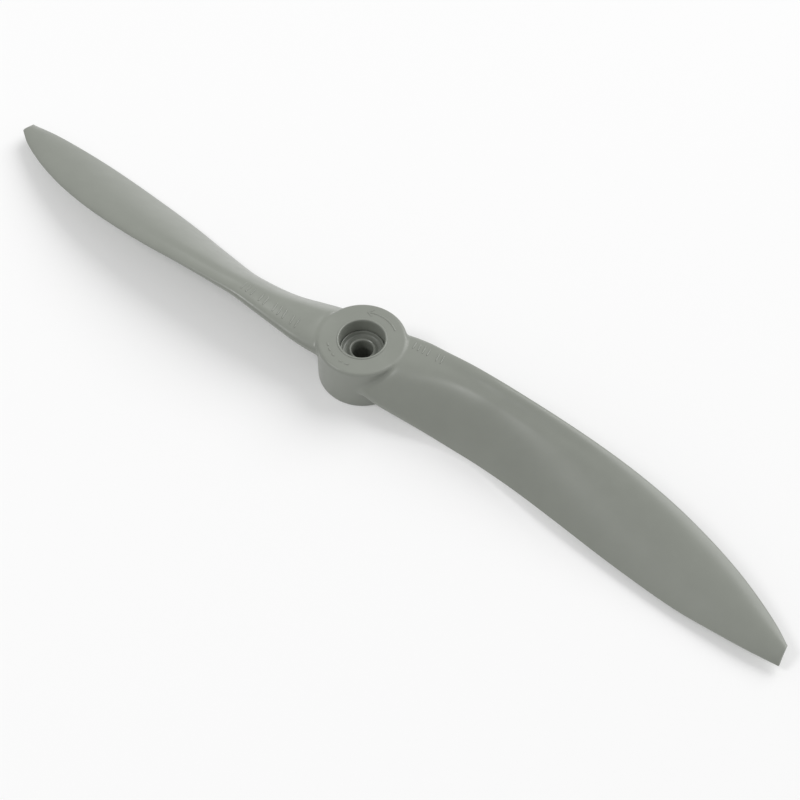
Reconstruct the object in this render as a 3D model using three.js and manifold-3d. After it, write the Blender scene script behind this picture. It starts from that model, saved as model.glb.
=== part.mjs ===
// A two-blade model-aircraft propeller moulded in grey glass-filled nylon, with a loose shaft adapter ring
// in the recess of its hub. Millimetres, +Z up. The hub stands on its back face at z = 0 with the shaft
// axis on Z, the blades lie along X, and the front of the propeller, which pulls, faces +Z.

import * as THREE from "three";
import { mergeVertices } from "three/addons/utils/BufferGeometryUtils.js";
import Module from "manifold-3d";

const wasm = await Module();
wasm.setup();

// Hub
const HUB_RADIUS = 12.1;
const HUB_HEIGHT = 13.9;
const HUB_EDGE = 0.4; // bevel round the front and back faces
const SHAFT_HOLE_RADIUS = 3.4; // through the hub, wide enough for every ring's shaft
const RECESS_RADIUS = 6.15;
const RECESS_FLOOR = 6; // above the back face
const RECESS_EDGE = 0.4;

// Adapter ring: a rim that fits the recess, a sunk web and a collar round the shaft
const RING_CLEARANCE = 0.1;
const RING_RADIUS = RECESS_RADIUS - RING_CLEARANCE;
const RING_HEIGHT = 4.0;
const RIM_WIDTH = 0.6;
const WEB_HEIGHT = 3.0;
const COLLAR_RADIUS = 3.9;
const COLLAR_HEIGHT = 3.6;
const COLLAR_BEVEL = 0.35;
const SHAFT_RADIUS = 2.9;
const RIM_BEVEL = 0.25;

// Blade: the two edges as points [distance from the axis, y, z], faired through by a smooth curve. The
// pitch is about 240 mm outboard of a third of the radius and washes out towards the root.
const ROOT_PLANE = 14; // where the blades start on the hub's stubs
const LEADING_EDGE = [
  [0, 8.0, 10.8],
  [8, 10.4, 11.8],
  [14, 11.4, 12.8],
  [20, 11.7, 13.7],
  [28, 12.0, 15.0],
  [36, 12.2, 15.75],
  [44, 12.8, 15.5],
  [56, 13.7, 14.75],
  [68, 14.5, 13.5],
  [80, 14.7, 12.2],
  [92, 14.2, 10.6],
  [104, 12.7, 8.8],
  [114, 10.6, 7.4],
  [122, 8.2, 6.2],
  [129, 5.5, 5.2],
  [134, 2.7, 4.9],
];
const TRAILING_EDGE = [
  [0, -9.0, 8.0],
  [8, -9.7, 6.6],
  [14, -9.0, 5.3],
  [20, -7.7, 4.1],
  [28, -5.9, 2.35],
  [36, -4.7, 1.4],
  [44, -4.1, 1.3],
  [56, -4.3, 2.0],
  [70, -5.0, 2.45],
  [84, -5.5, 2.2],
  [98, -5.65, 2.05],
  [108, -5.4, 2.05],
  [118, -4.5, 2.5],
  [127, -3.4, 2.75],
  [135, -1.95, 2.6],
];
const THICKNESS = [
  [0, 7.6],
  [14, 6.8],
  [20, 6.0],
  [30, 5.0],
  [42, 4.0],
  [60, 3.2],
  [86, 2.4],
  [110, 1.7],
  [135, 0.9],
];
const OVAL_TO_AEROFOIL = [14, 38]; // the section is an oval before this stretch and an aerofoil after it
const CAMBER = 0.055; // of the chord, outboard
// The upper side of the root carries a low rounded shoulder that runs from mid-chord at the hub towards
// the leading edge and dies out along the blade.
const SHOULDER_HEIGHT = 1.3;
const SHOULDER_WIDTH = 0.32; // of the chord
const SHOULDER_RISE = [6, 14];
const SHOULDER_FALL = [18, 38];
const SHOULDER_AT_HUB = 0.62; // share of the chord at the start of the rise
const SHOULDER_DRIFT = 0.016; // share of the chord per millimetre outboard
const EDGE_THICKNESS = 0.55; // of the moulded trailing edge
const TIP_RADIUS = 135;
const TIP_CUT_START = 133.9; // the leading edge is cut off slanting from here to the tip

// Fineness of the faceted solids
const SECTION_POINTS = 28;
const ROUND_SEGMENTS = 72;
const ROOT_STEPS = 5;
const BLADE_STEPS = 30;
const TIP_STEPS = 4;

// A smooth curve through points [x, value...] as a function of x: cubic between neighbours, with the
// slope at each point taken from the points beside it.
function faired(points, column) {
  const at = (i) => points[Math.min(Math.max(i, 0), points.length - 1)];
  const slope = (i) => {
    const [before, after] = [at(i - 1), at(i + 1)];
    return (after[column] - before[column]) / (after[0] - before[0]);
  };
  return (x) => {
    let i = points.findIndex((point) => point[0] > x) - 1;
    if (i < 0) i = x < points[0][0] ? 0 : points.length - 2;
    const span = at(i + 1)[0] - at(i)[0];
    const t = (x - at(i)[0]) / span;
    const rise = at(i + 1)[column] - at(i)[column];
    const startSlope = i === 0 ? rise / span : slope(i);
    const endSlope = i + 2 === points.length ? rise / span : slope(i + 1);
    const bend = t * t * (3 - 2 * t);
    const startPull = t * (1 - t) * (1 - t) * startSlope * span;
    const endPull = t * t * (t - 1) * endSlope * span;
    return at(i)[column] + rise * bend + startPull + endPull;
  };
}

const leadingY = faired(LEADING_EDGE, 1);
const leadingZ = faired(LEADING_EDGE, 2);
const trailingY = faired(TRAILING_EDGE, 1);
const trailingZ = faired(TRAILING_EDGE, 2);
const thicknessAt = faired(THICKNESS, 1);

// Half the height of an aerofoil of thickness 1 at a share s of its chord from the leading edge.
function aerofoilHalf(s) {
  const polynomial = -0.126 * s - 0.3516 * s ** 2 + 0.2843 * s ** 3 - 0.1036 * s ** 4;
  return 5 * (0.2969 * Math.sqrt(s) + polynomial);
}

// Height of the root's shoulder at distance x from the axis and a share s of the chord.
function shoulder(x, s) {
  const rise = THREE.MathUtils.smoothstep(x, ...SHOULDER_RISE);
  const fall = 1 - THREE.MathUtils.smoothstep(x, ...SHOULDER_FALL);
  const crest = SHOULDER_AT_HUB - SHOULDER_DRIFT * (x - SHOULDER_RISE[0]);
  return SHOULDER_HEIGHT * rise * fall * Math.exp(-(((s - crest) / SHOULDER_WIDTH) ** 2)) * 4 * s * (1 - s);
}

// The blade's outline in the plane at distance x from the axis, anticlockwise seen from the tip.
function sectionRing(x) {
  let front = new THREE.Vector2(leadingY(x), leadingZ(x));
  const back = new THREE.Vector2(trailingY(x), trailingZ(x));
  if (x > TIP_CUT_START) {
    const cut = (x - TIP_CUT_START) / (TIP_RADIUS - TIP_CUT_START);
    front = front.clone().lerp(back, 0.9 * cut);
  }
  const chord = back.clone().sub(front);
  const up = new THREE.Vector2(chord.y, -chord.x).normalize();
  const oval = 1 - THREE.MathUtils.smoothstep(x, ...OVAL_TO_AEROFOIL);
  const thickness = Math.min(thicknessAt(x), chord.length());
  const ring = [];
  for (let k = 0; k < SECTION_POINTS; k++) {
    const turn = (2 * Math.PI * (k + 0.5)) / SECTION_POINTS;
    const s = (1 + Math.cos(turn)) / 2;
    const side = -Math.sign(Math.sin(turn));
    const half = oval * Math.sqrt(s * (1 - s)) + (1 - oval) * aerofoilHalf(s);
    const lift = 4 * s * (1 - s) * CAMBER * chord.length() * (1 - oval);
    const swell = side > 0 ? shoulder(x, s) : 0;
    const height = lift + swell + side * (half * thickness + (s * EDGE_THICKNESS * (1 - oval)) / 2);
    const point = front.clone().addScaledVector(chord, s).addScaledVector(up, height);
    ring.push(new THREE.Vector3(x, point.x, point.y));
  }
  return ring;
}

// The section of the opposite blade: half a turn about the shaft axis, points kept in step.
function oppositeRing(x) {
  const ring = sectionRing(x);
  const half = SECTION_POINTS / 2;
  return ring.map((_, k) => {
    const twin = ring[(half - 1 - k + SECTION_POINTS) % SECTION_POINTS];
    return new THREE.Vector3(-twin.x, -twin.y, twin.z);
  });
}

// A closed body skinned over a row of rings of equal count, its ends closed by fans.
function loft(rings) {
  const count = rings[0].length;
  const points = rings.flat();
  const faces = [];
  for (let i = 0; i + 1 < rings.length; i++) {
    for (let k = 0; k < count; k++) {
      const a = i * count + k;
      const b = i * count + ((k + 1) % count);
      faces.push(a, b, b + count, a, b + count, a + count);
    }
  }
  for (const end of [0, rings.length - 1]) {
    const centre = points.length;
    const sum = rings[end].reduce((total, p) => total.add(p), new THREE.Vector3());
    points.push(sum.divideScalar(count));
    for (let k = 0; k < count; k++) {
      const a = end * count + k;
      const b = end * count + ((k + 1) % count);
      faces.push(...(end === 0 ? [centre, b, a] : [centre, a, b]));
    }
  }
  return new THREE.BufferGeometry().setFromPoints(points).setIndex(faces);
}

function toSolid(geometry) {
  const bare = geometry.clone();
  bare.deleteAttribute("normal");
  bare.deleteAttribute("uv");
  const merged = mergeVertices(bare, 1e-4);
  const vertProperties = merged.attributes.position.array;
  const triVerts = new Uint32Array(merged.index.array);
  return new wasm.Manifold(new wasm.Mesh({ numProp: 3, vertProperties, triVerts }));
}

function toGeometry(solid) {
  const mesh = solid.getMesh();
  const geometry = new THREE.BufferGeometry();
  const points = new THREE.BufferAttribute(new Float32Array(mesh.vertProperties), 3);
  geometry.setAttribute("position", points);
  geometry.setIndex(new THREE.BufferAttribute(mesh.triVerts, 1));
  return geometry;
}

// A body turned about the Z axis from a profile of [radius, z] points.
function turned(profile) {
  const points = profile.map(([radius, z]) => new THREE.Vector2(radius, z));
  return new THREE.LatheGeometry(points, ROUND_SEGMENTS).rotateX(Math.PI / 2);
}

function bladeGeometry() {
  const rings = [];
  for (let i = 0; i <= BLADE_STEPS; i++) {
    const t = i / BLADE_STEPS;
    // Stations crowd together where the planform curves in towards the tip.
    const share = 1.25 * t - 0.25 * t * t;
    rings.push(sectionRing(ROOT_PLANE + (TIP_CUT_START - ROOT_PLANE) * share));
  }
  for (let i = 1; i <= TIP_STEPS; i++) {
    const share = Math.sin(((i / TIP_STEPS) * Math.PI) / 2);
    rings.push(sectionRing(TIP_CUT_START + (TIP_RADIUS - TIP_CUT_START) * share));
  }
  return loft(rings);
}

function hubGeometry() {
  const xs = [];
  for (let i = 0; i <= ROOT_STEPS; i++) xs.push((ROOT_PLANE * i) / ROOT_STEPS);
  const outward = xs.map(sectionRing);
  const inward = xs.slice(1).reverse().map(oppositeRing);
  const roots = toSolid(loft([...inward, ...outward]));
  const boss = toSolid(
    turned([
      [0, 0],
      [HUB_RADIUS - HUB_EDGE, 0],
      [HUB_RADIUS, HUB_EDGE],
      [HUB_RADIUS, HUB_HEIGHT - HUB_EDGE],
      [HUB_RADIUS - HUB_EDGE, HUB_HEIGHT],
      [0, HUB_HEIGHT],
    ]),
  );
  const bore = toSolid(
    turned([
      [0, -1],
      [SHAFT_HOLE_RADIUS + RECESS_EDGE + 1, -1],
      [SHAFT_HOLE_RADIUS, RECESS_EDGE],
      [SHAFT_HOLE_RADIUS, RECESS_FLOOR],
      [RECESS_RADIUS, RECESS_FLOOR],
      [RECESS_RADIUS, HUB_HEIGHT - RECESS_EDGE],
      [RECESS_RADIUS + RECESS_EDGE + 1, HUB_HEIGHT + 1],
      [0, HUB_HEIGHT + 1],
    ]),
  );
  return toGeometry(boss.add(roots).subtract(bore));
}

function adapterRingGeometry() {
  const rimInner = RING_RADIUS - RIM_WIDTH;
  return turned([
    [SHAFT_RADIUS, 0],
    [RING_RADIUS - RIM_BEVEL, 0],
    [RING_RADIUS, RIM_BEVEL],
    [RING_RADIUS, RING_HEIGHT - RIM_BEVEL],
    [RING_RADIUS - RIM_BEVEL, RING_HEIGHT],
    [rimInner, RING_HEIGHT],
    [rimInner, WEB_HEIGHT],
    [COLLAR_RADIUS, WEB_HEIGHT],
    [COLLAR_RADIUS, COLLAR_HEIGHT],
    [SHAFT_RADIUS + COLLAR_BEVEL, COLLAR_HEIGHT],
    [SHAFT_RADIUS, COLLAR_HEIGHT - COLLAR_BEVEL],
    [SHAFT_RADIUS, 0],
  ]);
}

const nylon = { color: 0x8c9089, roughness: 0.5, metalness: 0 };

function part(name, geometry) {
  const mesh = new THREE.Mesh(geometry, new THREE.MeshStandardMaterial(nylon));
  mesh.name = name;
  return mesh;
}

const propeller = new THREE.Group();
propeller.add(part("hub", hubGeometry()));
for (const [name, turn] of [["blade_1", 0], ["blade_2", Math.PI]]) {
  const blade = part(name, bladeGeometry());
  blade.rotation.z = turn;
  propeller.add(blade);
}
const ring = part("adapter_ring", adapterRingGeometry());
ring.position.z = RECESS_FLOOR;
propeller.add(ring);

export default propeller;
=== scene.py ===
"""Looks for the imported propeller: a smooth moulding in grey nylon with its adapter ring, on white paper.

Lengths below are millimetres in the part's own frame unless a name says otherwise: the hub stands on its
back face at z = 0 with the shaft axis on Z, and blade_1 lies along +X with its leading edge on +Y.
"""

import math

import bmesh
import bpy
import numpy as np
import openvdb
from mathutils import Matrix, Vector


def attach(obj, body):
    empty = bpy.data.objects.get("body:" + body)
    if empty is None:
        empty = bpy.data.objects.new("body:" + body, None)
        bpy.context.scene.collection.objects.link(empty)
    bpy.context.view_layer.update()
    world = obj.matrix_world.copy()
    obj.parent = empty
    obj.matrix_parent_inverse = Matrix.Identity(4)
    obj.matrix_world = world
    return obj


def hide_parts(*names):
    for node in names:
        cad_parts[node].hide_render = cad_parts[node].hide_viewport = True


METRES = 0.001

# Hub
HUB_RADIUS = 12.1
HUB_HEIGHT = 13.9
TOP_ROUNDING = 0.9
FOOT_ROUNDING = 0.4
ROOT_FILLET = 0.9
RECESS_RADIUS = 6.15
RECESS_FLOOR = 6.0
RECESS_EDGE = 0.4
HOLE_EDGE = 0.35
SHAFT_HOLE_RADIUS = 3.4

# Adapter ring
RING_RADIUS = 6.05
RING_HEIGHT = 4.0
RIM_INNER_RADIUS = 5.45
WEB_HEIGHT = 3.0
COLLAR_RADIUS = 3.9
COLLAR_HEIGHT = 3.6
SHAFT_RADIUS = 2.9

# Blade edges as stations [distance from the axis, y, z], and the section's thickness
LEADING_EDGE = [
    [0, 8.0, 10.8],
    [8, 10.4, 11.8],
    [14, 11.4, 12.8],
    [20, 11.7, 13.7],
    [28, 12.0, 15.0],
    [36, 12.2, 15.75],
    [44, 12.8, 15.5],
    [56, 13.7, 14.75],
    [68, 14.5, 13.5],
    [80, 14.7, 12.2],
    [92, 14.2, 10.6],
    [104, 12.7, 8.8],
    [114, 10.6, 7.4],
    [122, 8.2, 6.2],
    [129, 5.5, 5.2],
    [134, 2.7, 4.9],
]
TRAILING_EDGE = [
    [0, -9.0, 8.0],
    [8, -9.7, 6.6],
    [14, -9.0, 5.3],
    [20, -7.7, 4.1],
    [28, -5.9, 2.35],
    [36, -4.7, 1.4],
    [44, -4.1, 1.3],
    [56, -4.3, 2.0],
    [70, -5.0, 2.45],
    [84, -5.5, 2.2],
    [98, -5.65, 2.05],
    [108, -5.4, 2.05],
    [118, -4.5, 2.5],
    [127, -3.4, 2.75],
    [135, -1.95, 2.6],
]
THICKNESS = [
    [0, 7.6],
    [14, 6.8],
    [20, 6.0],
    [30, 5.0],
    [42, 4.0],
    [60, 3.2],
    [86, 2.4],
    [110, 1.7],
    [135, 0.9],
]
OVAL_UNTIL = 14
AEROFOIL_FROM = 38
CAMBER = 0.055
EDGE_THICKNESS = 0.55
LIP_HOLLOW_DEPTH = 0.35  # a shallow hollow behind the leading edge leaves a rounded lip along it
LIP_HOLLOW_AT = 3.4
LIP_HOLLOW_WIDTH = 1.7
LIP_HOLLOW_RISE = (14, 30)
LIP_HOLLOW_FALL = (48, 85)
SHOULDER_HEIGHT = 1.3  # a low ridge on the root's upper side, from mid-chord at the hub towards the front
SHOULDER_WIDTH = 0.32  # of the chord
SHOULDER_RISE = (6, 14)
SHOULDER_FALL = (18, 38)
SHOULDER_AT_HUB = 0.62  # share of the chord at the start of the rise
SHOULDER_DRIFT = 0.016  # share of the chord per millimetre outboard
TIP_CUT_START = 133.9
TIP_RADIUS = 134.95
TIP_STEPS = 10

# Raised marks: bars on the blade roots, and an arrow and dashes on the hub
MARK_WIDTH = 0.55
MARK_PROFILE = [(-1, -0.35), (-1, 0.02), (-0.6, 0.11), (0, 0.15), (0.6, 0.11), (1, 0.02), (1, -0.35)]
MARK_END_SHARE = 0.6  # of the width, at both ends
BAR_SLANT = 0.3
BLADE_1_BARS = [11.5, 13.0, 14.5, 16.0, 19.0, 20.5]  # distances from the axis
BLADE_1_BAR_INSET = 2.2  # from the leading edge
BLADE_1_BAR_LENGTH = 2.6
BLADE_2_BARS = [16, 17.7, 20.4, 22.1, 23.8, 27, 28.7, 31.6, 33.3, 35]
BLADE_2_BAR_INSET = 2.4
BLADE_2_BAR_LENGTH = 3.2
HUB_MARK_RADIUS = 9.2
ARROW_ARC = (58, 122)  # degrees
ARROW_BARB_REACH = 1.1
ARROW_BARB_TURN = 9  # degrees back from the tip
DASH_ANGLES = [228, 240, 252, 270, 282]
DASH_TURN = 7  # degrees

# Bead round the mouth of the recess
LIP_INSET = 0.05
LIP_WIDTH = 0.7
LIP_RISE = 0.34
LIP_SUNK = 0.6  # below the hub's face
LIP_SPRING = 0.12  # depth below the face at which the bead's round top starts

# Paper
PAPER_GLOW = 0.19
PAPER_WHITE = 0.74

# Fineness
SECTION_POINTS = 144
RING_SPACING = 0.8
SEAM = 30.0  # where the voxel-built middle meets the skinned blade
SEAM_GAP = 0.25
VOXEL = 0.2
MIDDLE_REACH = 1.5  # how far the voxels run past the seams
MIDDLE_HALF_WIDTH = 17.0
MIDDLE_TOP = 18.0
MIDDLE_VOXELS_BELOW = 8
ROUND_SEGMENTS = 192


def faired(stations):
    """A smooth function through stations [x, values...], returning an array of the values at each x."""
    table = np.array(stations, dtype=float)
    xs = table[:, 0]
    values = table[:, 1:]
    slopes = np.empty_like(values)
    slopes[1:-1] = (values[2:] - values[:-2]) / (xs[2:] - xs[:-2])[:, None]
    slopes[0] = (values[1] - values[0]) / (xs[1] - xs[0])
    slopes[-1] = (values[-1] - values[-2]) / (xs[-1] - xs[-2])

    def at(x):
        x = np.atleast_1d(np.asarray(x, dtype=float))
        i = np.clip(np.searchsorted(xs, x, side="right") - 1, 0, len(xs) - 2)
        span = (xs[i + 1] - xs[i])[:, None]
        t = (x[:, None] - xs[i][:, None]) / span
        rise = values[i + 1] - values[i]
        bend = t * t * (3 - 2 * t)
        pulls = t * (1 - t) ** 2 * slopes[i] * span + t * t * (t - 1) * slopes[i + 1] * span
        return values[i] + rise * bend + pulls

    return at


leading = faired(LEADING_EDGE)
trailing = faired(TRAILING_EDGE)
thickness_at = faired(THICKNESS)


def smoothstep(x, low, high):
    t = np.clip((x - low) / (high - low), 0, 1)
    return t * t * (3 - 2 * t)


def aerofoil_half(s):
    polynomial = -0.126 * s - 0.3516 * s**2 + 0.2843 * s**3 - 0.1036 * s**4
    return 5 * (0.2969 * np.sqrt(s) + polynomial)


def shoulder(x, s):
    """Height of the root's shoulder at distance x and share s of the chord."""
    fade = smoothstep(x, *SHOULDER_RISE) * (1 - smoothstep(x, *SHOULDER_FALL))
    crest = SHOULDER_AT_HUB - SHOULDER_DRIFT * (x - SHOULDER_RISE[0])
    return SHOULDER_HEIGHT * fade * np.exp(-(((s - crest) / SHOULDER_WIDTH) ** 2)) * 4 * s * (1 - s)


def lip_hollow(x, distance):
    """Depth of the hollow at a distance behind the leading edge."""
    fade = smoothstep(x, *LIP_HOLLOW_RISE) * (1 - smoothstep(x, *LIP_HOLLOW_FALL))
    return LIP_HOLLOW_DEPTH * fade * np.exp(-(((distance - LIP_HOLLOW_AT) / LIP_HOLLOW_WIDTH) ** 2))


def section(x):
    """The blade's outline at distance x as points [x, y, z], anticlockwise seen from the tip."""
    front = leading(x)[0]
    back = trailing(x)[0]
    if x > TIP_CUT_START:
        cut = (x - TIP_CUT_START) / (TIP_RADIUS - TIP_CUT_START)
        front = front + (back - front) * 0.9 * cut
    chord = back - front
    length = np.hypot(*chord)
    up = np.array([chord[1], -chord[0]]) / length
    oval = 1 - smoothstep(x, OVAL_UNTIL, AEROFOIL_FROM)
    thickness = min(thickness_at(x)[0, 0], length)
    turn = 2 * np.pi * (np.arange(SECTION_POINTS) + 0.5) / SECTION_POINTS
    s = (1 + np.cos(turn)) / 2
    side = -np.sign(np.sin(turn))
    half = oval * np.sqrt(s * (1 - s)) + (1 - oval) * aerofoil_half(s)
    lift = 4 * s * (1 - s) * CAMBER * length * (1 - oval)
    height = lift + side * (half * thickness + s * EDGE_THICKNESS * (1 - oval) / 2)
    height += (side > 0) * (shoulder(x, s) - lip_hollow(x, s * length))
    yz = front + s[:, None] * chord + height[:, None] * up
    return np.column_stack([np.full(SECTION_POINTS, x), yz])


def distance_to_outline(points, outline):
    """Signed distance of 2-D points from a closed polygon, negative inside."""
    best = np.full(len(points), np.inf)
    inside = np.zeros(len(points), dtype=bool)
    for a, b in zip(outline, np.roll(outline, -1, axis=0)):
        edge = b - a
        offset = points - a
        share = np.clip(offset @ edge / max(edge @ edge, 1e-12), 0, 1)
        gap = offset - share[:, None] * edge
        best = np.minimum(best, np.einsum("ij,ij->i", gap, gap))
        crosses = (a[1] > points[:, 1]) != (b[1] > points[:, 1])
        if edge[1] != 0:
            inside ^= crosses & (points[:, 0] < a[0] + (points[:, 1] - a[1]) / edge[1] * edge[0])
    return np.where(inside, -1, 1) * np.sqrt(best)


def smooth_min(a, b, reach):
    h = np.maximum(reach - np.abs(a - b), 0) / reach
    return np.minimum(a, b) - h * h * reach / 4


def hub_distance(x, y, z):
    """Signed distance from the plain hub, with rounded rims."""
    wall = np.hypot(x, y) - HUB_RADIUS
    top = z - HUB_HEIGHT
    foot = -z

    def rounded_corner(a, b, radius):
        beyond = np.hypot(np.maximum(a + radius, 0), np.maximum(b + radius, 0)) - radius
        return np.minimum(np.maximum(a, b), -radius) * (beyond <= -radius) + beyond * (beyond > -radius)

    upper = rounded_corner(wall, top, TOP_ROUNDING)
    lower = rounded_corner(wall, foot, FOOT_ROUNDING)
    return np.maximum(upper, lower)


def middle_surface():
    """Vertices and quads of the hub and blade roots, blended by fillets, out past the seams."""
    half_x = int(math.ceil((SEAM + MIDDLE_REACH) / VOXEL))
    half_y = int(math.ceil(MIDDLE_HALF_WIDTH / VOXEL))
    xs = np.arange(-half_x, half_x + 1) * VOXEL
    ys = np.arange(-half_y, half_y + 1) * VOXEL
    zs = np.arange(-MIDDLE_VOXELS_BELOW, int(MIDDLE_TOP / VOXEL)) * VOXEL
    y, z = np.meshgrid(ys, zs, indexing="ij")
    flat = np.column_stack([y.ravel(), z.ravel()])
    field = np.empty((len(xs), len(ys), len(zs)), dtype=np.float32)
    for i, x in enumerate(xs):
        if x < 0:
            continue
        blade = distance_to_outline(flat, section(x)[:, 1:]).reshape(y.shape)
        field[i] = smooth_min(blade, hub_distance(x, y, z), ROOT_FILLET)
    # The other half is the same after half a turn about the shaft axis.
    field[:half_x] = field[:half_x:-1, ::-1, :]
    grid = openvdb.FloatGrid(5.0)
    grid.copyFromArray(np.clip(field, -3, 3))
    points, quads = grid.convertToQuads(isovalue=0.0)
    points = settle(points, field)
    points = points * VOXEL + np.array([xs[0], ys[0], zs[0]])
    return points, quads


def settle(points, field):
    """Moves vertices, in voxel units, onto the field's zero surface."""
    gradients = np.gradient(field)
    for _ in range(3):
        value = sampled(field, points)
        slope = np.column_stack([sampled(g, points) for g in gradients])
        points = points - (value / np.maximum(np.einsum("ij,ij->i", slope, slope), 1e-6))[:, None] * slope
    return points


def sampled(field, points):
    low = np.floor(points).astype(int)
    low = np.clip(low, 0, np.array(field.shape) - 2)
    t = points - low
    total = np.zeros(len(points))
    for corner in np.ndindex(2, 2, 2):
        weight = np.prod(np.where(corner, t, 1 - t), axis=1)
        index = low + np.array(corner)
        total += weight * field[index[:, 0], index[:, 1], index[:, 2]]
    return total


def mesh_object(name, vertices, faces):
    """An object from millimetre points, linked to the scene."""
    mesh = bpy.data.meshes.new(name)
    mesh.from_pydata([tuple(v) for v in np.asarray(vertices) * METRES], [], [tuple(f) for f in faces])
    mesh.validate()
    obj = bpy.data.objects.new(name, mesh)
    bpy.context.scene.collection.objects.link(obj)
    return obj


def blade_surface():
    """Vertices and faces of blade_1 outboard of the seam, open at the root and closed at the tip."""
    start = SEAM + SEAM_GAP
    steps = int((TIP_CUT_START - start) / RING_SPACING)
    xs = list(np.linspace(start, TIP_CUT_START, steps))
    for i in range(1, TIP_STEPS + 1):
        xs.append(TIP_CUT_START + (TIP_RADIUS - TIP_CUT_START) * math.sin(i / TIP_STEPS * math.pi / 2))
    vertices = np.vstack([section(x) for x in xs])
    faces = []
    for i in range(len(xs) - 1):
        for k in range(SECTION_POINTS):
            a = i * SECTION_POINTS + k
            b = i * SECTION_POINTS + (k + 1) % SECTION_POINTS
            faces.append([a, b, b + SECTION_POINTS, a + SECTION_POINTS])
    last = (len(xs) - 1) * SECTION_POINTS
    faces.append([last + k for k in range(SECTION_POINTS)])
    return vertices, faces


def moulding():
    """The whole propeller as one closed, filleted mesh."""
    points, quads = middle_surface()
    obj = mesh_object("moulding", points, quads)
    bm = bmesh.new()
    bm.from_mesh(obj.data)
    for side in (1, -1):
        geometry = bm.verts[:] + bm.edges[:] + bm.faces[:]
        seam = (side * SEAM * METRES, 0, 0)
        outwards = (side, 0, 0)
        bmesh.ops.bisect_plane(
            bm, geom=geometry, dist=1e-7, plane_co=seam, plane_no=outwards, clear_outer=True
        )
    vertices, faces = blade_surface()
    for side in (1, -1):
        turned_points = vertices * np.array([side, side, 1]) * METRES
        added = [bm.verts.new(p) for p in turned_points]
        for face in faces:
            bm.faces.new([added[i] for i in face])
    for side in (1, -1):
        rim = [e for e in bm.edges if e.is_boundary and side * e.verts[0].co.x > 0]
        bmesh.ops.bridge_loops(bm, edges=rim)
    bmesh.ops.recalc_face_normals(bm, faces=bm.faces)
    open_edges = sum(1 for e in bm.edges if not e.is_manifold)
    print("moulding: open edges", open_edges, "faces", len(bm.faces))
    bm.to_mesh(obj.data)
    bm.free()
    cut = lathe(
        "bore_cutter",
        [
            (0, -1),
            (SHAFT_HOLE_RADIUS + HOLE_EDGE + 1, -1),
            (SHAFT_HOLE_RADIUS, HOLE_EDGE),
            (SHAFT_HOLE_RADIUS, RECESS_FLOOR),
            (RECESS_RADIUS, RECESS_FLOOR),
            (RECESS_RADIUS, HUB_HEIGHT - RECESS_EDGE),
            (RECESS_RADIUS + 0.08 * RECESS_EDGE, HUB_HEIGHT - 0.6 * RECESS_EDGE),
            (RECESS_RADIUS + 0.3 * RECESS_EDGE, HUB_HEIGHT - 0.3 * RECESS_EDGE),
            (RECESS_RADIUS + 0.6 * RECESS_EDGE, HUB_HEIGHT - 0.08 * RECESS_EDGE),
            (RECESS_RADIUS + 1.2 * RECESS_EDGE, HUB_HEIGHT + 0.02 * RECESS_EDGE),
            (RECESS_RADIUS + 2 * RECESS_EDGE, HUB_HEIGHT + 1),
            (0, HUB_HEIGHT + 1),
        ],
    )
    boolean = obj.modifiers.new("bore", "BOOLEAN")
    boolean.operation = "DIFFERENCE"
    boolean.solver = "EXACT"
    boolean.object = cut
    bake(obj)
    bpy.data.objects.remove(cut)
    return obj


def bake(obj):
    """Applies an object's modifiers to its mesh."""
    graph = bpy.context.evaluated_depsgraph_get()
    mesh = bpy.data.meshes.new_from_object(obj.evaluated_get(graph))
    obj.modifiers.clear()
    obj.data = mesh


def lathe(name, profile):
    """A closed body turned about Z from [radius, z] points, starting and ending on the axis or closing."""
    vertices = []
    rings = []
    for radius, z in profile:
        if radius == 0:
            rings.append([len(vertices)])
            vertices.append((0, 0, z))
            continue
        rings.append([len(vertices) + k for k in range(ROUND_SEGMENTS)])
        for k in range(ROUND_SEGMENTS):
            turn = 2 * math.pi * k / ROUND_SEGMENTS
            vertices.append((radius * math.cos(turn), radius * math.sin(turn), z))
    if profile[0][0] != 0:
        rings.append(rings[0])
    faces = []
    for lower, upper in zip(rings, rings[1:]):
        for k in range(ROUND_SEGMENTS):
            j = (k + 1) % ROUND_SEGMENTS
            if len(lower) == 1:
                faces.append([lower[0], upper[j], upper[k]])
            elif len(upper) == 1:
                faces.append([lower[k], lower[j], upper[0]])
            else:
                faces.append([lower[k], lower[j], upper[j], upper[k]])
    obj = mesh_object(name, vertices, faces)
    face_outwards(obj)
    return obj


def section_top(x):
    """The upper side of the section as y and z arrays, y rising."""
    top = section(x)[SECTION_POINTS // 2 :]
    order = np.argsort(top[:, 1])
    return top[order, 1], top[order, 2]


def blade_height(x, y):
    """Height of blade_1's upper side at a point of its plan."""
    return float(np.interp(y, *section_top(x)))


def face_height(x, y):
    """Height of the hub's front face."""
    return HUB_HEIGHT


def raised_strip(centre_line, width, height_at):
    """Vertices and faces of a low rounded strip that follows a surface under a line in the plan."""
    line = np.array(centre_line, dtype=float)
    along = np.gradient(line, axis=0)
    along /= np.linalg.norm(along, axis=1)[:, None]
    across = np.column_stack([-along[:, 1], along[:, 0]])
    vertices = []
    for i, (point, side) in enumerate(zip(line, across)):
        narrowing = MARK_END_SHARE if i in (0, len(line) - 1) else 1.0
        for share, rise in MARK_PROFILE:
            x, y = point + side * share * width / 2 * narrowing
            vertices.append((x, y, height_at(x, y) + rise))
    count = len(MARK_PROFILE)
    faces = []
    for i in range(len(line) - 1):
        for k in range(count):
            a = i * count + k
            b = i * count + (k + 1) % count
            faces.append([a, b, b + count, a + count])
    last = (len(line) - 1) * count
    faces.append(list(reversed(range(count))))
    faces.append([last + k for k in range(count)])
    return vertices, faces


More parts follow.
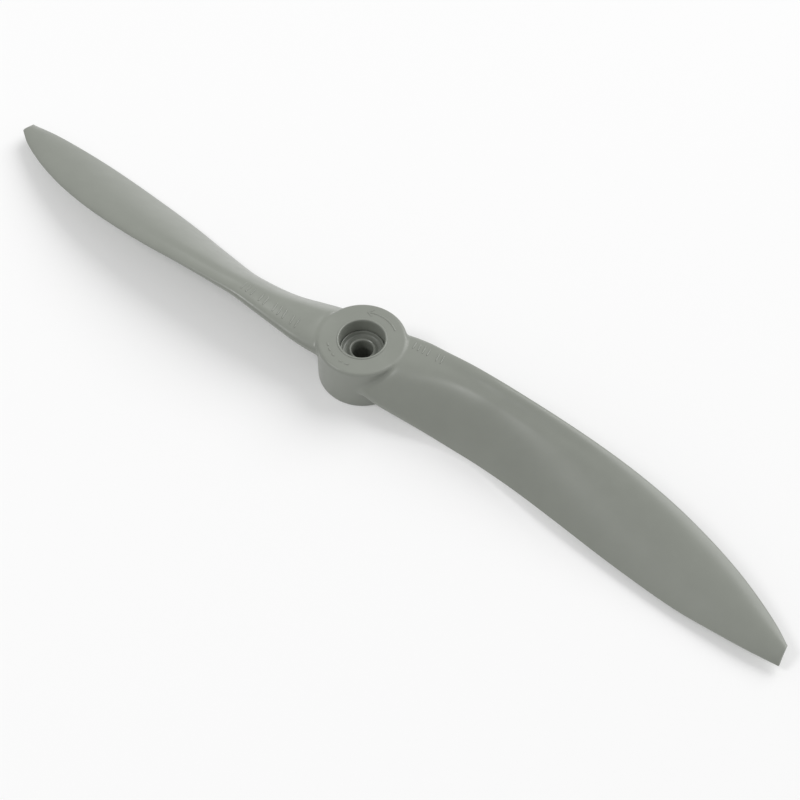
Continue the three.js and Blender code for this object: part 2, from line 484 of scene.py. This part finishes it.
def root_bars(stations, inset, length):
    """Short bars across a blade root, set in from its leading edge."""
    strips = []
    for x in stations:
        start = leading(x)[0, 0] - inset
        line = [(x + BAR_SLANT * t * length, start - t * length) for t in np.linspace(0, 1, 7)]
        strips.append(raised_strip(line, MARK_WIDTH, blade_height))
    return strips


def turned_half(strips):
    """The same strips after half a turn about the shaft axis, as on the opposite blade."""
    return [([(-x, -y, z) for x, y, z in vertices], faces) for vertices, faces in strips]


def polar(radius, degrees):
    angle = math.radians(degrees)
    return radius * math.cos(angle), radius * math.sin(angle)


def arc(radius, start, end, steps=24):
    return [polar(radius, degrees) for degrees in np.linspace(start, end, steps)]


def hub_marks():
    """An arrow for the direction of rotation, and a row of dashes across from it."""
    strips = [raised_strip(arc(HUB_MARK_RADIUS, *ARROW_ARC), MARK_WIDTH, face_height)]
    tip = np.array(polar(HUB_MARK_RADIUS, ARROW_ARC[1]))
    for reach in (-ARROW_BARB_REACH, ARROW_BARB_REACH):
        barb = np.array(polar(HUB_MARK_RADIUS + reach, ARROW_ARC[1] - ARROW_BARB_TURN))
        line = [tuple(tip + (barb - tip) * t) for t in np.linspace(0, 1, 5)]
        strips.append(raised_strip(line, MARK_WIDTH, face_height))
    for angle in DASH_ANGLES:
        dash = arc(HUB_MARK_RADIUS, angle, angle + DASH_TURN, 6)
        strips.append(raised_strip(dash, MARK_WIDTH, face_height))
    return strips


def moulded_marks():
    """All the raised marks as one mesh of closed strips sunk into the moulding."""
    strips = hub_marks()
    strips += root_bars(BLADE_1_BARS, BLADE_1_BAR_INSET, BLADE_1_BAR_LENGTH)
    strips += turned_half(root_bars(BLADE_2_BARS, BLADE_2_BAR_INSET, BLADE_2_BAR_LENGTH))
    vertices = []
    faces = []
    for points, loops in strips:
        start = len(vertices)
        vertices += points
        faces += [[start + i for i in loop] for loop in loops]
    obj = mesh_object("moulded_marks", vertices, faces)
    face_outwards(obj)
    return obj


def recess_lip():
    """The fine rounded bead round the mouth of the recess."""
    inner = RECESS_RADIUS + LIP_INSET
    outer = inner + LIP_WIDTH
    middle = (inner + outer) / 2
    profile = [(inner, HUB_HEIGHT - LIP_SUNK)]
    for turn in np.linspace(math.pi, 0, 9):
        height = HUB_HEIGHT - LIP_SPRING + LIP_RISE * math.sin(turn)
        profile.append((middle + LIP_WIDTH / 2 * math.cos(turn), height))
    profile.append((outer, HUB_HEIGHT - LIP_SUNK))
    return lathe("recess_lip", profile)


def face_outwards(obj):
    bm = bmesh.new()
    bm.from_mesh(obj.data)
    bmesh.ops.recalc_face_normals(bm, faces=bm.faces)
    bm.to_mesh(obj.data)
    bm.free()


def smooth_shaded(obj, angle=30):
    obj.data.shade_smooth()
    obj.data.set_sharp_from_angle(angle=math.radians(angle))


def nylon(name, colour):
    """Satin glass-filled nylon: a grey body colour, faint mottling and a fine grain."""
    material = bpy.data.materials.new(name)
    material.use_nodes = True
    nodes = material.node_tree.nodes
    links = material.node_tree.links
    shader = nodes["Principled BSDF"]
    place = nodes.new("ShaderNodeTexCoord")

    def noise(scale, detail):
        node = nodes.new("ShaderNodeTexNoise")
        node.inputs["Scale"].default_value = scale
        node.inputs["Detail"].default_value = detail
        links.new(place.outputs["Object"], node.inputs["Vector"])
        return node.outputs["Fac"]

    def mapped(value, low, high):
        node = nodes.new("ShaderNodeMapRange")
        node.inputs["From Min"].default_value = 0.3
        node.inputs["From Max"].default_value = 0.7
        node.inputs["To Min"].default_value = low
        node.inputs["To Max"].default_value = high
        links.new(value, node.inputs["Value"])
        return node.outputs["Result"]

    tone = nodes.new("ShaderNodeMix")
    tone.data_type = "RGBA"
    tone.inputs["A"].default_value = (*[c * 0.98 for c in colour], 1)
    tone.inputs["B"].default_value = (*[c * 1.02 for c in colour], 1)
    links.new(mapped(noise(180, 4), 0, 1), tone.inputs["Factor"])
    links.new(tone.outputs["Result"], shader.inputs["Base Color"])
    links.new(mapped(noise(400, 3), 0.28, 0.34), shader.inputs["Roughness"])
    grain = nodes.new("ShaderNodeBump")
    grain.inputs["Strength"].default_value = 0.15
    grain.inputs["Distance"].default_value = 0.00002
    links.new(noise(2500, 2), grain.inputs["Height"])
    links.new(grain.outputs["Normal"], shader.inputs["Normal"])
    return material


def paper():
    """A white sheet that glows faintly as painted fill light, so shadows on it stay light; black under the
    hub and its hole as painted shade.
    """
    mesh = bpy.data.meshes.new("paper")
    reach = 3.0
    corners = [(-reach, -reach, 0), (reach, -reach, 0), (reach, reach, 0), (-reach, reach, 0)]
    mesh.from_pydata(corners, [], [(0, 1, 2, 3)])
    floor = bpy.data.objects.new("paper", mesh)
    bpy.context.scene.collection.objects.link(floor)
    material = bpy.data.materials.new("paper")
    material.use_nodes = True
    nodes = material.node_tree.nodes
    links = material.node_tree.links
    shader = nodes["Principled BSDF"]
    shader.inputs["Roughness"].default_value = 0.9
    shader.inputs["Specular IOR Level"].default_value = 0.2
    shader.inputs["Emission Color"].default_value = (1, 1, 1, 1)
    place = nodes.new("ShaderNodeTexCoord")
    distance = nodes.new("ShaderNodeVectorMath")
    distance.operation = "LENGTH"
    links.new(place.outputs["Object"], distance.inputs[0])
    # Painted shade: the glow and the white both fall to nothing from the hub's rim in to half its radius,
    # so the paper is black under the hub and where it shows through the hole.
    for full_value, socket in ((PAPER_GLOW, "Emission Strength"), (PAPER_WHITE, "Base Color")):
        painted_shade_ramp = nodes.new("ShaderNodeMapRange")
        painted_shade_ramp.inputs["From Min"].default_value = HUB_RADIUS * 0.5 * METRES
        painted_shade_ramp.inputs["From Max"].default_value = HUB_RADIUS * METRES
        painted_shade_ramp.inputs["To Min"].default_value = 0
        painted_shade_ramp.inputs["To Max"].default_value = full_value
        links.new(distance.outputs["Value"], painted_shade_ramp.inputs["Value"])
        links.new(painted_shade_ramp.outputs["Result"], shader.inputs[socket])
    mesh.materials.append(material)
    return floor


def area_light(name, position, target, size, watts):
    light = bpy.data.lights.new(name, "AREA")
    light.shape = "DISK"
    light.size = size
    light.energy = watts
    obj = bpy.data.objects.new(name, light)
    obj.location = position
    direction = Vector(target) - Vector(position)
    obj.rotation_euler = direction.to_track_quat("-Z", "Y").to_euler()
    bpy.context.scene.collection.objects.link(obj)


def daylight(strength):
    world = bpy.data.worlds.new("room")
    world.use_nodes = True
    background = world.node_tree.nodes["Background"]
    background.inputs["Color"].default_value = (1.0, 1.0, 1.0, 1)
    background.inputs["Strength"].default_value = strength
    bpy.context.scene.world = world


def camera():
    """Looks down at 54 degrees, turned 41 degrees round from the line of the blades."""
    azimuth = math.radians(41.02)
    elevation = math.radians(54.44)
    target = Vector((14.14, -0.92, 0)) * METRES
    away = Vector((math.sin(azimuth), -math.cos(azimuth), 0)) * math.cos(elevation)
    away.z = math.sin(elevation)
    data = bpy.data.cameras.new("camera")
    data.lens = 74.47
    data.sensor_width = 36
    obj = bpy.data.objects.new("camera", data)
    obj.location = target + away * 444.2 * METRES
    obj.rotation_euler = (-away).to_track_quat("-Z", "Y").to_euler()
    bpy.context.scene.collection.objects.link(obj)
    bpy.context.scene.camera = obj


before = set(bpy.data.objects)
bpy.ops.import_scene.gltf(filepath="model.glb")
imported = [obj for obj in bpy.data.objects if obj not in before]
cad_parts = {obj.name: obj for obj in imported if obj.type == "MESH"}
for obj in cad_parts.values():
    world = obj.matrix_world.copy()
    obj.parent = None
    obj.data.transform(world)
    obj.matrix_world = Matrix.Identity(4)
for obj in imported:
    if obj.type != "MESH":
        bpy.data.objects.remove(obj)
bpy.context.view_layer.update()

propeller_nylon = nylon("propeller_nylon", (0.251, 0.264, 0.234))
ring_nylon = nylon("ring_nylon", (0.212, 0.223, 0.198))

body = moulding()
smooth_shaded(body)
body.data.materials.clear()
body.data.materials.append(propeller_nylon)
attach(body, "propeller")
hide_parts("hub", "blade_1", "blade_2")

for detail in (moulded_marks(), recess_lip()):
    smooth_shaded(detail, 60)
    detail.data.materials.append(propeller_nylon)
    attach(detail, "propeller")

ring = lathe(
    "adapter",
    [
        (SHAFT_RADIUS, 0),
        (RING_RADIUS - 0.3, 0),
        (RING_RADIUS, 0.3),
        (RING_RADIUS, RING_HEIGHT - 0.3),
        (RING_RADIUS - 0.04, RING_HEIGHT - 0.15),
        (RING_RADIUS - 0.13, RING_HEIGHT - 0.05),
        (RING_RADIUS - 0.27, RING_HEIGHT),
        (RIM_INNER_RADIUS + 0.13, RING_HEIGHT - 0.05),
        (RIM_INNER_RADIUS + 0.04, RING_HEIGHT - 0.15),
        (RIM_INNER_RADIUS - 0.05, RING_HEIGHT - 0.35),
        (RIM_INNER_RADIUS - 0.15, WEB_HEIGHT + 0.25),
        (RIM_INNER_RADIUS - 0.3, WEB_HEIGHT + 0.08),
        (RIM_INNER_RADIUS - 0.5, WEB_HEIGHT),
        (COLLAR_RADIUS + 0.5, WEB_HEIGHT),
        (COLLAR_RADIUS + 0.2, WEB_HEIGHT + 0.06),
        (COLLAR_RADIUS, WEB_HEIGHT + 0.2),
        (COLLAR_RADIUS - 0.2, WEB_HEIGHT + 0.4),
        (COLLAR_RADIUS - 0.4, COLLAR_HEIGHT - 0.07),
        (COLLAR_RADIUS - 0.55, COLLAR_HEIGHT),
        (SHAFT_RADIUS + 0.4, COLLAR_HEIGHT - 0.03),
        (SHAFT_RADIUS + 0.2, COLLAR_HEIGHT - 0.12),
        (SHAFT_RADIUS + 0.07, COLLAR_HEIGHT - 0.28),
        (SHAFT_RADIUS, COLLAR_HEIGHT - 0.5),
    ],
)
ring.data.transform(Matrix.Translation((0, 0, RECESS_FLOOR * METRES)))
smooth_shaded(ring)
ring.data.materials.append(ring_nylon)
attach(ring, "ring")
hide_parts("adapter_ring")

floor = paper()
bpy.context.scene.view_settings.view_transform = "Standard"
daylight(0.5)
area_light("window", (0.3, 1.9, 1.9), (0, 0, 0), 2.4, 46)
area_light("softbox", (-0.57, -0.72, 1.17), (0.03, 0, 0), 0.45, 5.0)
camera()
